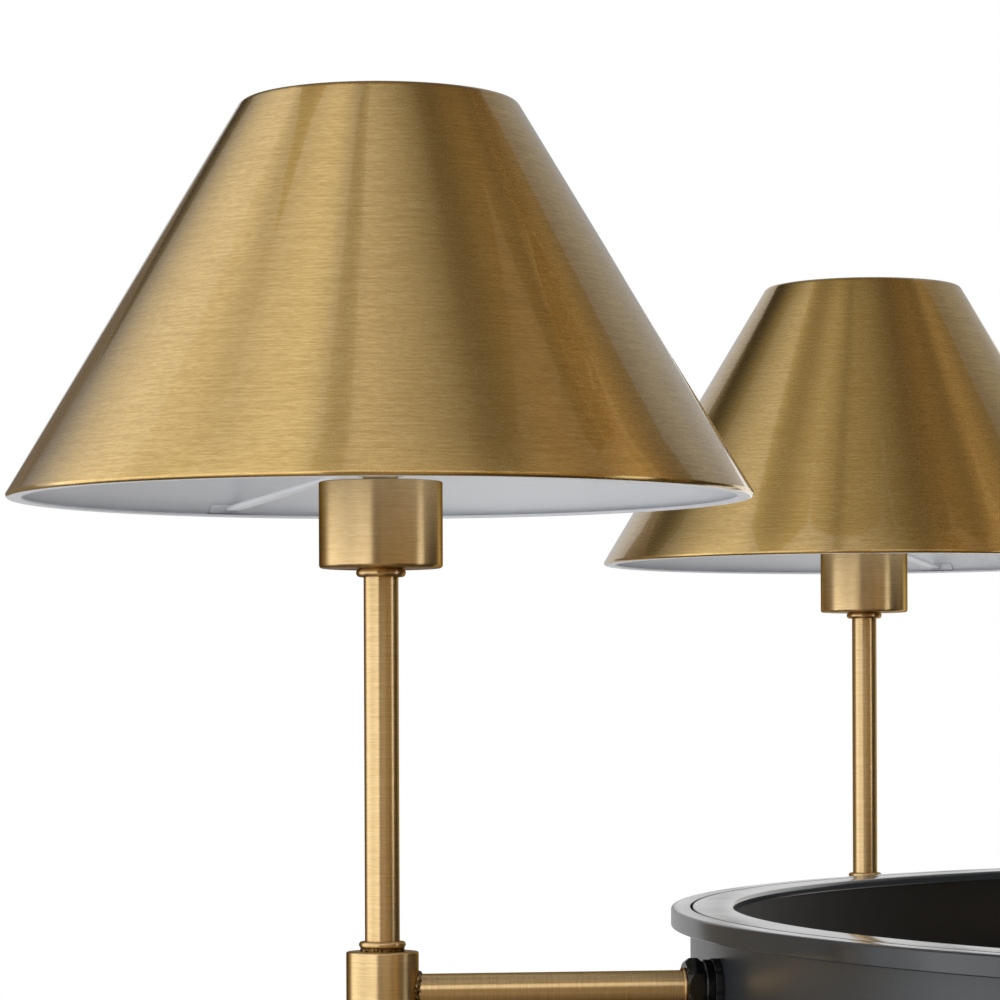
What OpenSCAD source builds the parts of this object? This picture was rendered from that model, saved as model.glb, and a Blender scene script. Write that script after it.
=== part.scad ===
// Ring chandelier: lamps with spun cone shades stand on straight arms, which run through a flanged ring
// to a centre hub. The hub hangs on a stem with a swivel under a ceiling canopy.
// Millimetres, +Z up. The origin is on the ceiling, at the centre of the canopy.

/* [Layout] */
// Number of lamps round the ring
lamp_count = 6; // [4:1:7]
// Radius of the circle that the lamps stand on
lamp_circle_r = 480; // [450:1:560]
// Distance from the ceiling down to the arms' axis
drop = 640; // [560:5:1200]
// Radial clearance of a tube or pin in its hole
fit = 0.05; // [0.02:0.01:0.1]
// Clearance between flat faces that turn on each other
play = 0.1; // [0.05:0.05:0.3]

/* [Shade] */
// Outside diameter of the shade's rim
shade_rim_d = 203.2; // [180:0.2:240]
// Outside diameter of the shade's top
shade_top_d = 75.4; // [66:0.2:110]
// Height of the shade
shade_h = 108; // [95:1:130]
// Thickness of the spun sheet
shade_wall = 0.7; // [0.6:0.1:1.4]
// Width of the lip turned in at the rim
rim_lip = 4.4; // [3.5:0.1:7]
// Outer radius of the rolled rim
rim_r = 0.9; // [0.5:0.1:1.4]
// Width of the lip turned in at the top
top_lip = 4; // [3.5:0.1:8]
// Outer radius of the rounded top shoulder
shoulder_r = 2.7; // [1.8:0.1:4]
// Height of the rim above the arms' axis
rim_height = 134.2; // [110:0.1:180]

/* [Spider] */
// Number of bars from the hub to the shade's wall
bar_count = 3; // [3:1:4]
// Width of a bar
bar_w = 4; // [3:0.1:6]
// Thickness of a bar
bar_t = 1.4; // [1:0.1:1.8]
// Height of a bar's foot above the rim
foot_rise = 2.4; // [2.2:0.1:6]
// Width of the pad that joins a bar's foot to the shade's wall
foot_w = 14; // [8:0.5:24]
// Height of that pad
foot_h = 2.6; // [1.6:0.1:2.8]
// Thickness of that pad
foot_t = 0.8; // [0.6:0.1:1.5]
// Height of the spider's hub above the rim
spider_rise = 8.4; // [7.5:0.1:14]
// Diameter of the spider's hub
spider_hub_d = 20; // [18:0.5:26]
// Thickness of the spider's hub
spider_hub_t = 1.6; // [1.2:0.1:2.5]
// Turn of the first shade about its post
spider_turn = 49.5; // [0:0.5:119]
// How much further every second shade is turned
spider_turn_step = 9; // [0:1:30]

/* [Cup, post and knuckle] */
// Diameter of the cup
cup_d = 33.8; // [28:0.1:42]
// Height of the cup
cup_h = 23.5; // [16:0.1:30]
// Wall of the cup
cup_wall = 1.2; // [0.8:0.1:2]
// Outer radius of the cup's lower edge
cup_edge_r = 0.9; // [0.5:0.1:3]
// Height of the cup's mouth above the shade's rim
cup_rise = 4.7; // [1:0.1:5]
// Outside diameter of the post tube
post_d = 9.5; // [8:0.1:11]
// Bore of the post tube
post_bore = 7.2; // [5:0.1:7.4]
// Diameter of the bead under the cup
cup_bead_d = 13.6; // [12.6:0.1:18]
// Height of the bead under the cup
cup_bead_h = 2.4; // [1.6:0.1:4]
// Diameter of the bead on the knuckle
post_bead_d = 12.8; // [12.2:0.1:18]
// Height of the bead on the knuckle
post_bead_h = 1.8; // [1.4:0.1:4]
// Height of the knurled foot under that bead
knurl_h = 1; // [0.4:0.1:1.5]
// Diameter of the knuckle between arm and post
knuckle_d = 19.8; // [17:0.1:26]
// Height of the knuckle
knuckle_h = 22; // [20:0.1:32]
// Bevel round the knuckle's ends
knuckle_bevel = 0.5; // [0.2:0.1:1.5]
// Depth of the arm in the knuckle
arm_seat = 5.5; // [3:0.1:6]

/* [Arm and its nuts] */
// Outside diameter of the arm tube
arm_d = 9.5; // [8:0.1:10.5]
// Bore of the arm tube
arm_bore = 7.2; // [5:0.1:7.4]
// Width of a hex nut across its flats
nut_flats = 14; // [13:0.1:17]
// Thickness of a hex nut
nut_t = 4.9; // [3:0.1:7]
// Diameter of the lock washer on the ring
washer_d = 15.8; // [13:0.1:19]
// Thickness of the lock washer
washer_t = 2.2; // [1:0.1:3]
// Diameter of the plain washer between the outer lock washer and its nut
plain_washer_d = 15.2; // [13:0.1:19]
// Thickness of the plain washer
plain_washer_t = 2.6; // [1:0.1:4]
// Diameter of the thin brass ring outside the nut
trim_d = 10.9; // [10.7:0.1:16]
// Thickness of the thin brass ring
trim_t = 0.8; // [0.5:0.1:2]
// Width across the flats of the thin nuts on the post
post_nut_flats = 12.5; // [12.2:0.1:16]
// Thickness of the thin nuts on the post
post_nut_t = 2; // [1.6:0.1:3]

/* [Ring] */
// Outside diameter of the ring's flanges
ring_d = 784.4; // [740:0.2:860]
// Diameter of the ring's open middle
ring_open_d = 747.2; // [690:0.2:752]
// Height of the ring
ring_h = 37; // [30:0.5:60]
// How far the flanges stand out from the band
flange_w = 5.7; // [3:0.1:10]
// Thickness of the flanges
flange_t = 5.5; // [4.5:0.1:8]
// Wall of the band and of the liner
ring_wall = 2; // [1.5:0.1:3]
// Thickness of the cover and base plates
plate_t = 3; // [2:0.1:4]
// Gap round the plates inside the flanges
plate_gap = 0.7; // [0.2:0.05:1]
// How far the plates reach in past the liner
plate_nose = 1; // [0.5:0.1:2]

/* [Hub and stem] */
// Diameter of the centre hub
hub_d = 76; // [66:1:100]
// Height of the centre hub
hub_h = 44; // [40:1:60]
// Wall of the centre hub
hub_wall = 3; // [2:0.1:4]
// Depth of the stem's seat in the hub and in the swivel
stem_seat = 10; // [8:0.5:12]
// Diameter of the boss round the stem's seat
stem_boss_d = 20; // [18:0.5:20.5]
// Outside diameter of the stem
stem_d = 12.7; // [11:0.1:15]
// Bore of the stem
stem_bore = 9.5; // [7:0.1:9.8]
// Diameter of the beads at the stem's ends
stem_bead_d = 18; // [17:0.1:24]
// Height of the beads at the stem's ends
stem_bead_h = 3.2; // [2:0.1:5]
// Thickness of the cap under the hub
cap_t = 3; // [2:0.1:5]
// Depth of the cap's plug inside the hub
cap_plug = 4; // [2:0.1:6]
// Diameter of the cap's finial
finial_d = 14; // [12:0.5:20]
// Height of the cap's finial
finial_h = 14; // [10:0.5:24]

/* [Swivel] */
// Diameter of the hollow nipple that carries everything
nipple_d = 12.7; // [11:0.1:13.5]
// Bore of the nipple
nipple_bore = 8; // [6:0.1:9]
// Diameter of the nipple's head
nipple_head_d = 18; // [17:0.1:20]
// Thickness of the nipple's head
nipple_head_t = 4; // [3:0.1:6]
// Thickness of the fork's top disc
fork_disc_t = 9; // [6:0.1:14]
// Gap between the fork's ears
fork_gap = 21; // [21:0.1:26]
// Edge of the disc outside the ears' corners
fork_edge = 1; // [0.5:0.1:3]
// Thickness of an ear
ear_t = 4; // [3:0.1:6]
// Radius of an ear's round end
ear_r = 8; // [6:0.1:10]
// Diameter of the swivel's pin
pin_d = 6; // [4:0.1:8]
// Diameter of the pin's heads
pin_head_d = 9; // [8.5:0.1:11]
// Thickness of the pin's heads
pin_head_t = 1.6; // [1:0.1:3]
// Side clearance of the tongue in the fork
fork_clearance = 0.25; // [0.1:0.05:0.5]
// Space over the tongue
tongue_clearance = 2; // [1:0.1:5]
// Width of the tongue's neck
neck_w = 12; // [8:0.5:13]

/* [Canopy] */
// Diameter of the canopy
canopy_d = 130; // [124:1:160]
// Depth of the canopy
canopy_h = 26; // [20:1:40]
// Wall of the canopy
canopy_wall = 1.2; // [0.8:0.1:2]
// Outer radius of the canopy's lower edge
canopy_edge_r = 8; // [3:0.5:12]
// Diameter of the ring that holds the canopy up
canopy_ring_d = 26; // [20:0.5:36]
// Height of the ring that holds the canopy up
canopy_ring_h = 6; // [4:0.5:10]
// Length of the ceiling strap
strap_l = 114; // [108:1:116]
// Width of the ceiling strap
strap_w = 22; // [20:0.5:30]
// Thickness of the ceiling strap
strap_t = 3; // [2:0.1:4]
// Distance between the strap's two screw slots
screw_spacing = 88.9; // [69:0.1:92]
// Width of a screw slot
slot_w = 5; // [4:0.1:6]
// Length of a screw slot
slot_l = 12; // [8:0.5:14]

/* [Lampholder] */
// Diameter of the lampholder
holder_d = 22; // [20:0.5:32]
// Height of the lampholder
holder_h = 34; // [30:0.5:44]
// Diameter of the lampholder's foot
holder_foot_d = 25; // [22:0.5:36]
// Height of the lampholder's foot
holder_foot_h = 5; // [3:0.5:8]
// Diameter of the lamp's hole
lamp_hole_d = 12; // [11:0.1:14]
// Depth of the lamp's hole
lamp_hole_depth = 18; // [14:0.5:20]
// Depth of the post in the lampholder
holder_seat = 6; // [4:0.5:8]

/* [Hidden] */
$fn = 96;
brass = "#a5823f";
white = "#eceef2";
black = "#3a3d40";
phenolic = "#26241f";
steel = "#b9b9b4";
corner_steps = 4;

// Shade: slope of the cone and the sharp corners that its roundings start from
cone_run = (shade_rim_d - shade_top_d) / 2;
cone_angle = atan(cone_run / shade_h);
rim_corner_r = shade_rim_d / 2 + rim_r * (1 / tan((90 - cone_angle) / 2) - 1);
slant = (rim_corner_r - shade_top_d / 2) / shade_h;
wall_run = shade_wall * sqrt(1 + slant * slant);

// Lamp stack, heights above the arms' axis
knuckle_top = knuckle_h / 2;
post_bottom = arm_d / 2 + 0.4;
cup_top = rim_height + cup_rise;
cup_bottom = cup_top - cup_h;
spider_bottom = rim_height + spider_rise;
spider_top = spider_bottom + spider_hub_t;
holder_bottom = spider_top + play;
post_top = holder_bottom + holder_seat;

// Ring
ring_top = ring_h / 2;
plate_seat = ring_top - plate_t;
band_r = ring_d / 2 - flange_w;
plate_r = band_r - plate_gap;
open_r = ring_open_d / 2;
liner_r = open_r + plate_nose;

// Arm, and where its nuts bear on the walls that it runs through
nut_corner_r = nut_flats / 2 / cos(30);
hub_r = hub_d / 2;
hub_in_r = hub_r - hub_wall;
function chord_seat(wall_r, part_r) = sqrt(wall_r * wall_r - part_r * part_r);
hub_nut_r = chord_seat(hub_in_r, nut_corner_r);
liner_washer_r = chord_seat(liner_r, washer_d / 2);
outer_nut_r = band_r + washer_t + plain_washer_t;
arm_end_stub = 2;
arm_inner = hub_nut_r - nut_t - arm_end_stub;
arm_outer = lamp_circle_r - knuckle_d / 2 + arm_seat;

// Swivel, heights below the ceiling
canopy_ring_bottom = -canopy_h - canopy_ring_h;
fork_top = canopy_ring_bottom - play;
fork_disc_bottom = fork_top - fork_disc_t;
head_top = fork_disc_bottom - play;
head_bottom = head_top - nipple_head_t;
pin_z = head_bottom - tongue_clearance - ear_r;
fork_w = fork_gap + 2 * ear_t;
fork_d = sqrt(fork_w * fork_w + 4 * ear_r * ear_r) + 2 * fork_edge;
tongue_w = fork_gap - 2 * fork_clearance;
boss_top = pin_z - stem_boss_d / 2;
boss_bottom = boss_top - stem_seat - ear_r;
stem_top = boss_bottom + stem_seat;
hub_top = -drop + hub_h / 2;
stem_bottom = hub_top - stem_seat;

// A profile is a list of [radius, height, rounding] corners.
function unit(v) = v / norm(v);
function rounded(a, b, c, r) =
    let (u = unit(a - b), w = unit(c - b), half = acos(u * w) / 2, centre = b + unit(u + w) * r / sin(half),
         p = b + u * r / tan(half), q = b + w * r / tan(half),
         start = atan2(p.y - centre.y, p.x - centre.x), end = atan2(q.y - centre.y, q.x - centre.x),
         sweep = (end - start + 540) % 360 - 180)
    [for (k = [0 : corner_steps]) centre + r * [cos(start + sweep * k / corner_steps),
                                                sin(start + sweep * k / corner_steps)]];
function xy(p) = [p.x, p.y];
function outline(corners) =
    let (n = len(corners))
    [for (i = [0 : n - 1]) let (b = corners[i])
        each (b.z == 0 ? [xy(b)]
              : rounded(xy(corners[(i + n - 1) % n]), xy(b), xy(corners[(i + 1) % n]), b.z))];

module lathe(corners) rotate_extrude() polygon(outline(corners));

module tube(outer_d, bore, length)
    difference() {
        cylinder(d = outer_d, h = length);
        translate([0, 0, -1]) cylinder(d = bore, h = length + 2);
    }

// A collar with a full round edge, bored for the tube that it sits on
module bead(bead_d, bead_h, tube_d)
    lathe([[tube_d / 2 + fit, 0, 0], [bead_d / 2, 0, bead_h * 0.49], [bead_d / 2, bead_h, bead_h * 0.49],
           [tube_d / 2 + fit, bead_h, 0]]);

// A hex nut whose corners are bevelled on both faces
module nut(flats, thick, tube_d) {
    corner_r = flats / 2 / cos(30);
    bevel = (corner_r - flats / 2) * 0.6;
    difference() {
        intersection() {
            cylinder(r = corner_r, h = thick, $fn = 6);
            lathe([[0, 0, 0], [flats / 2, 0, 0], [corner_r, bevel, 0], [corner_r, thick - bevel, 0],
                   [flats / 2, thick, 0], [0, thick, 0]]);
        }
        translate([0, 0, -1]) cylinder(r = tube_d / 2 + fit, h = thick + 2);
    }
}

// Lamp i's place round the ring: its own X axis points outwards
function lamp_angle(i) = 180 - (i - 1) * 360 / lamp_count;
module on_spoke(i) translate([0, 0, -drop]) rotate([0, 0, lamp_angle(i)]) children();
module at_lamp(i) on_spoke(i) translate([lamp_circle_r, 0, 0]) children();
module each_lamp() for (i = [1 : lamp_count]) at_lamp(i) children();
module each_spoke() for (i = [1 : lamp_count]) on_spoke(i) children();
// Turns a piece that is drawn along Z so that it runs outwards from radius r
module along_arm(r) translate([r, 0, 0]) rotate([0, 90, 0]) children();
module arm_holes(from_r, to_r)
    each_spoke() along_arm(from_r) cylinder(r = arm_d / 2 + fit, h = to_r - from_r);
function turn_of(i) = spider_turn + spider_turn_step * ((i - 1) % 2);

module ceiling_strap()
    color(steel) difference() {
        translate([-strap_l / 2, -strap_w / 2, -strap_t]) cube([strap_l, strap_w, strap_t]);
        translate([0, 0, -strap_t - 1]) cylinder(r = nipple_d / 2 + fit, h = strap_t + 2);
        for (side = [-1, 1]) translate([side * screw_spacing / 2, 0, -strap_t - 1]) {
            for (end = [-1, 1]) translate([end * (slot_l - slot_w) / 2, 0, 0])
                cylinder(d = slot_w, h = strap_t + 2);
            translate([-(slot_l - slot_w) / 2, -slot_w / 2, 0])
                cube([slot_l - slot_w, slot_w, strap_t + 2]);
        }
    }

module nipple()
    color(steel) difference() {
        union() {
            translate([0, 0, head_bottom]) cylinder(d = nipple_d, h = -head_bottom);
            translate([0, 0, head_bottom]) cylinder(d = nipple_head_d, h = nipple_head_t);
        }
        translate([0, 0, head_bottom - 1]) cylinder(d = nipple_bore, h = 2 - head_bottom);
    }

module canopy() {
    hole_r = nipple_d / 2 + 4 * fit;
    color(brass) lathe([[hole_r, -canopy_h, 0], [canopy_d / 2, -canopy_h, canopy_edge_r],
                        [canopy_d / 2, 0, 0], [canopy_d / 2 - canopy_wall, 0, 0],
                        [canopy_d / 2 - canopy_wall, canopy_wall - canopy_h, canopy_edge_r - canopy_wall],
                        [hole_r, canopy_wall - canopy_h, 0]]);
}

module canopy_ring()
    color(brass) translate([0, 0, canopy_ring_bottom])
        lathe([[nipple_d / 2 + fit, 0, 0], [canopy_ring_d / 2, 0, 1], [canopy_ring_d / 2, canopy_ring_h, 1],
               [nipple_d / 2 + fit, canopy_ring_h, 0]]);

module swivel_fork() {
    ear_drop = fork_disc_bottom - pin_z;
    color(brass) difference() {
        union() {
            translate([0, 0, fork_disc_bottom]) cylinder(d = fork_d, h = fork_disc_t);
            for (side = [-1, 1]) translate([0, side * (fork_gap + ear_t) / 2, 0]) {
                translate([-ear_r, -ear_t / 2, pin_z]) cube([2 * ear_r, ear_t, ear_drop + fork_disc_t / 2]);
                translate([0, 0, pin_z]) rotate([90, 0, 0]) cylinder(r = ear_r, h = ear_t, center = true);
            }
        }
        translate([0, 0, fork_disc_bottom - 1]) cylinder(r = nipple_d / 2 + fit, h = fork_disc_t + 2);
        translate([0, 0, pin_z]) rotate([90, 0, 0])
            cylinder(r = pin_d / 2 + fit, h = fork_w + 2, center = true);
    }
}

module swivel_pin()
    color(steel) translate([0, 0, pin_z]) rotate([90, 0, 0]) {
        cylinder(d = pin_d, h = fork_w + 2 * pin_head_t, center = true);
        for (side = [-1, 1]) translate([0, 0, side * (fork_w + pin_head_t) / 2])
            cylinder(d = pin_head_d, h = pin_head_t, center = true);
    }

module swivel_tongue()
    color(brass) difference() {
        union() {
            translate([0, 0, pin_z]) rotate([90, 0, 0]) cylinder(r = ear_r, h = tongue_w, center = true);
            translate([-neck_w / 2, -neck_w / 2, boss_top - 1]) cube([neck_w, neck_w, pin_z - boss_top + 1]);
            translate([0, 0, boss_bottom]) cylinder(d = stem_boss_d, h = boss_top - boss_bottom);
        }
        translate([0, 0, pin_z]) rotate([90, 0, 0])
            cylinder(r = pin_d / 2 + fit, h = tongue_w + 2, center = true);
        translate([0, 0, boss_bottom - 1]) cylinder(r = stem_d / 2 + fit, h = stem_seat + 1);
    }

module stem()
    color(brass) translate([0, 0, stem_bottom]) tube(stem_d, stem_bore, stem_top - stem_bottom);

module stem_beads()
    color(brass) for (z = [boss_bottom - stem_bead_h, hub_top]) translate([0, 0, z])
        bead(stem_bead_d, stem_bead_h, stem_d);

module hub() {
    top = hub_h / 2;
    stem_hole_r = stem_d / 2 + fit;
    color(brass) difference() {
        translate([0, 0, -drop])
            lathe([[stem_hole_r, top, 0], [hub_r, top, hub_wall], [hub_r, -top, 0], [hub_in_r, -top, 0],
                   [hub_in_r, top - hub_wall, 0], [stem_boss_d / 2, top - hub_wall, 0],
                   [stem_boss_d / 2, top - stem_seat, 0], [stem_hole_r, top - stem_seat, 0]]);
        arm_holes(hub_in_r - hub_wall, hub_r + 1);
    }
}

module hub_cap() {
    bottom = -hub_h / 2;
    plate = bottom - cap_t;
    neck_r = finial_d / 4;
    knob_top = plate - finial_h * 0.3;
    color(brass) translate([0, 0, -drop])
        lathe([[0, bottom + cap_plug, 0], [hub_in_r - fit, bottom + cap_plug, 0], [hub_in_r - fit, bottom, 0],
               [hub_r, bottom, 0], [hub_r, plate, cap_t / 2], [neck_r, plate, 0], [neck_r, knob_top, 0],
               [finial_d / 2, knob_top, finial_d * 0.15], [finial_d / 2, plate - finial_h, finial_d * 0.4],
               [0, plate - finial_h, 0]]);
}

module ring_band() {
    edge = 0.8;
    color(black) difference() {
        translate([0, 0, -drop])
            lathe([[band_r - ring_wall, -plate_seat, 0], [band_r, -plate_seat, 0], [band_r, -ring_top, 0],
                   [ring_d / 2, -ring_top, edge], [ring_d / 2, flange_t - ring_top, edge / 2],
                   [band_r, flange_t - ring_top, 0], [band_r, ring_top - flange_t, 0],
                   [ring_d / 2, ring_top - flange_t, edge / 2], [ring_d / 2, ring_top, edge],
                   [band_r, ring_top, 0], [band_r, plate_seat, 0], [band_r - ring_wall, plate_seat, 0]]);
        arm_holes(band_r - 2 * ring_wall, band_r + 1);
    }
}

module ring_liner()
    color(black) difference() {
        translate([0, 0, -drop - plate_seat]) tube(2 * (liner_r + ring_wall), 2 * liner_r, 2 * plate_seat);
        arm_holes(liner_r - ring_wall, liner_r + 2 * ring_wall);
    }

module ring_plate(side) {
    nose_r = 1.2;
    edge = 0.3;
    color(black) translate([0, 0, -drop])
        lathe([[open_r, side * plate_seat, edge], [open_r, side * ring_top, nose_r],
               [plate_r, side * ring_top, edge], [plate_r, side * plate_seat, 0]]);
}
module ring_cover() ring_plate(1);
module ring_base() ring_plate(-1);

module arm_nuts()
    color(black) each_spoke() for (r = [hub_nut_r - nut_t, liner_washer_r - washer_t - nut_t, outer_nut_r])
        along_arm(r) nut(nut_flats, nut_t, arm_d);

module lock_washers()
    color(black) each_spoke() for (r = [liner_washer_r - washer_t, band_r])
        along_arm(r) tube(washer_d, arm_d + 2 * fit, washer_t);

module plain_washers()
    color(black) each_spoke() along_arm(band_r + washer_t)
        tube(plain_washer_d, arm_d + 2 * fit, plain_washer_t);

module trim_rings()
    color(brass) each_spoke() along_arm(outer_nut_r + nut_t) tube(trim_d, arm_d + 2 * fit, trim_t);

module arm(i)
    color(brass) on_spoke(i) along_arm(arm_inner) tube(arm_d, arm_bore, arm_outer - arm_inner);

module knuckle(i)
    color(brass) at_lamp(i) difference() {
        lathe([[0, -knuckle_top, 0], [knuckle_d / 2, -knuckle_top, knuckle_bevel],
               [knuckle_d / 2, knuckle_top, knuckle_bevel], [0, knuckle_top, 0]]);
        translate([0, 0, post_bottom]) cylinder(r = post_d / 2 + fit, h = knuckle_top);
        along_arm(-knuckle_d) cylinder(r = arm_d / 2 + fit, h = knuckle_d / 2 + arm_seat);
    }

module post(i)
    color(brass) at_lamp(i) translate([0, 0, post_bottom]) tube(post_d, post_bore, post_top - post_bottom);

// The bead stands on a slightly narrower knurled foot
module post_beads()
    color(brass) each_lamp() translate([0, 0, knuckle_top]) {
        tube(0.2 * post_d + 0.8 * post_bead_d, post_d + 2 * fit, knurl_h);
        translate([0, 0, knurl_h]) bead(post_bead_d, post_bead_h, post_d);
    }

module cup_beads()
    color(brass) each_lamp() translate([0, 0, cup_bottom - cup_bead_h])
        bead(cup_bead_d, cup_bead_h, post_d);

module cup(i) {
    hole_r = post_d / 2 + fit;
    floor_top = cup_bottom + cup_wall;
    inside_r = cup_d / 2 - cup_wall;
    lip = cup_wall / 6;
    color(brass) at_lamp(i)
        lathe([[hole_r, cup_bottom, 0], [cup_d / 2, cup_bottom, cup_edge_r], [cup_d / 2, cup_top, lip],
               [inside_r, cup_top, lip], [inside_r, floor_top, 0], [hole_r, floor_top, 0]]);
}

// One thin nut holds the cup down on its bead, and one carries the spider
module post_nuts()
    color(brass) each_lamp() for (z = [cup_bottom + cup_wall, spider_bottom - play - post_nut_t])
        translate([0, 0, z]) nut(post_nut_flats, post_nut_t, post_d);

module lampholders() {
    top = holder_bottom + holder_h;
    lamp_floor = top - lamp_hole_depth;
    foot_top = holder_bottom + holder_foot_h;
    edge = 0.8;
    color(phenolic) each_lamp()
        lathe([[post_d / 2 + fit, holder_bottom, 0], [holder_foot_d / 2, holder_bottom, edge],
               [holder_foot_d / 2, foot_top, edge], [holder_d / 2, foot_top, 0], [holder_d / 2, top, edge],
               [lamp_hole_d / 2, top, 0], [lamp_hole_d / 2, lamp_floor, 0], [0, lamp_floor, 0],
               [0, post_top, 0], [post_d / 2 + fit, post_top, 0]]);
}

// Radius of the cone's inner face at a height above the rim
function inner_r(h) = rim_corner_r - h * slant - wall_run;

// The space inside the shade's wall, or inside a skin of some depth on it
module in_shade(depth)
    translate([0, 0, rim_height])
        cylinder(r1 = inner_r(0) - fit - depth, r2 = inner_r(shade_h / 2) - fit - depth, h = shade_h / 2);

// Flat bars slope from a bored hub down to the shade's wall, where each ends in a pad on the wall
module spider(i) {
    root_r = spider_hub_d / 2 - 1;
    hub_mid = spider_bottom + spider_hub_t / 2;
    foot_z = rim_height + foot_rise;
    run = inner_r(foot_rise) - root_r;
    fall = atan((hub_mid - foot_z) / run);
    pad_low = max(foot_z - foot_h / 2, rim_height + shade_wall + play);
    pad_high = foot_z + foot_h / 2;
    color(white) at_lamp(i) rotate([0, 0, turn_of(i)]) difference() {
        union() {
            translate([0, 0, spider_bottom]) cylinder(d = spider_hub_d, h = spider_hub_t);
            intersection() {
                for (k = [0 : bar_count - 1]) rotate([0, 0, k * 360 / bar_count]) {
                    translate([root_r, 0, hub_mid]) rotate([0, fall, 0])
                        translate([0, -bar_w / 2, -bar_t / 2]) cube([run + bar_w, bar_w, bar_t]);
                    difference() {
                        translate([root_r, -foot_w / 2, pad_low])
                            cube([run + bar_w, foot_w, pad_high - pad_low]);
                        in_shade(foot_t);
                    }
                }
                in_shade(0);
            }
        }
        translate([0, 0, spider_bottom - 1]) cylinder(r = post_d / 2 + fit, h = spider_hub_t + 2);
    }
}

// Spun cone with both edges turned in
module shade(i) {
    top_r = shade_top_d / 2;
    color(brass) at_lamp(i) translate([0, 0, rim_height])
        lathe([[shade_rim_d / 2 - rim_lip, 0, 0], [rim_corner_r, 0, rim_r], [top_r, shade_h, shoulder_r],
               [top_r - top_lip, shade_h, 0], [top_r - top_lip, shade_h - shade_wall, 0],
               [inner_r(shade_h - shade_wall), shade_h - shade_wall, shoulder_r - shade_wall],
               [inner_r(shade_wall), shade_wall, 0], [shade_rim_d / 2 - rim_lip, shade_wall, 0]]);
}

ceiling_strap();
nipple();
canopy();
canopy_ring();
swivel_fork();
swivel_pin();
swivel_tongue();
stem();
stem_beads();
hub();
hub_cap();
ring_band();
ring_liner();
ring_cover();
ring_base();
arm_nuts();
lock_washers();
plain_washers();
trim_rings();
post_beads();
cup_beads();
post_nuts();
lampholders();
for (i = [1 : lamp_count]) {
    arm(i);
    knuckle(i);
    post(i);
    cup(i);
    spider(i);
    shade(i);
}
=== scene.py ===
"""Ring chandelier: spun brass shades on turned posts, straight arms, and a black enamelled ring.

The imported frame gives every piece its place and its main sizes. The operators below turn, spin, bend and
thread the pieces that the eye rests on, and give the rest of the frame its finishes.
"""
import math

import bmesh
import bpy
from bpy.props import FloatProperty, FloatVectorProperty, IntProperty, PointerProperty
from mathutils import Matrix, Vector


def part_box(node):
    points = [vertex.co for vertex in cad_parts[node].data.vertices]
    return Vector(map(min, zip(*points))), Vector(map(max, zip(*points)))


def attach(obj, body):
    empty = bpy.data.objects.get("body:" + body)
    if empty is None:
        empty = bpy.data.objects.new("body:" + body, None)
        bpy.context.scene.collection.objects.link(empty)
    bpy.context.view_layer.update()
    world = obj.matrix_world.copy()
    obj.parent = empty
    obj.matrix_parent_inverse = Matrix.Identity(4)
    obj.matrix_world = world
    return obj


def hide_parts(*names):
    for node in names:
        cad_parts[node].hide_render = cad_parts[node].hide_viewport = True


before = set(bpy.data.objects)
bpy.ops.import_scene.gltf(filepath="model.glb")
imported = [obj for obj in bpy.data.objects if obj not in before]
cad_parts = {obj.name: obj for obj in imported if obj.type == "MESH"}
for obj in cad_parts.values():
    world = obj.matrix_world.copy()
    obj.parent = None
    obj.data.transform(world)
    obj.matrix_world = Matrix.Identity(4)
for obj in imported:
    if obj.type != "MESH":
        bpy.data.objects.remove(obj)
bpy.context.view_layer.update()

bl_info = {
    "name": "Ring chandelier",
    "version": (1, 0, 0),
    "blender": (4, 5, 0),
    "location": "View3D > Sidebar > Chandelier",
    "description": "Dresses the chandelier's frame with turned, spun and enamelled pieces",
    "category": "Object",
}

MM = 0.001
SHARP = math.radians(32)
ARC_STEPS = 8
ON_AXIS = 1e-7
# Room round a tube in its bore, and the rounding of an edge that is only broken
CLEARANCE = 0.05 * MM
BROKEN_EDGE = 0.3 * MM
LAMPS = [i for i in range(1, len(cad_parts)) if f"post_{i}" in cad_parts]


def linear(code):
    """An sRGB hex colour as linear red, green and blue."""
    shares = [int(code[k:k + 2], 16) / 255 for k in (1, 3, 5)]
    return [s / 12.92 if s <= 0.04045 else ((s + 0.055) / 1.055) ** 2.4 for s in shares]


def length(name, description, millimetres):
    return FloatProperty(name=name, description=description, default=millimetres * MM, min=0, unit="LENGTH")


def count(name, description, number, least):
    return IntProperty(name=name, description=description, default=number, min=least)


def colour(name, description, code):
    return FloatVectorProperty(name=name, description=description, default=linear(code), size=3,
                               min=0, max=1, subtype="COLOR")


class FinishSettings(bpy.types.PropertyGroup):
    brass_pale: colour("Pale brass", "Crests of the brushing on the shades", "#E4C17A")
    brass_deep: colour("Deep brass", "Toned hollows of the brushing on the shades", "#CAA55C")
    turned_pale: colour("Pale turned brass", "Crests of the brushing on posts, cups and arms", "#EBCD9C")
    turned_deep: colour("Deep turned brass", "Hollows of the brushing on posts, cups and arms", "#CFB07B")
    # Dark toning; on the knurled foot under each bead this colour is also painted shade
    toned: colour("Toned brass", "Brass left dark by its toning in knurls and fillets", "#3A2A14")
    toned_edge: colour("Toned edge", "Tone of turned brass seen along its surface", "#8A7350")
    brush_line: length("Brush line", "Width of one brush line on the brass", 0.22)
    brush_run: length("Brush run", "Length of a short brush line on the brass", 2.6)
    enamel_black: colour("Black enamel", "Paint on the ring", "#2C3034")
    # A darker copy of the ring's black: painted shade inside the ring and on the lock washers
    shaded_black: colour("Satin black", "Paint inside the ring", "#080B10")
    nut_black: colour("Nut black", "Dipped paint on the nuts and washers", "#0C0D0E")
    enamel_white: colour("White enamel", "Paint inside the shades", "#E9EBEF")
    zinc: colour("Zinc", "Plating on the steel inside the canopy", "#B4B8BC")
    nickel: colour("Nickel", "Plating on the screw shells", "#C9C2B2")
    phenolic: colour("Phenolic", "Moulding of the lampholders", "#23201C")


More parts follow.
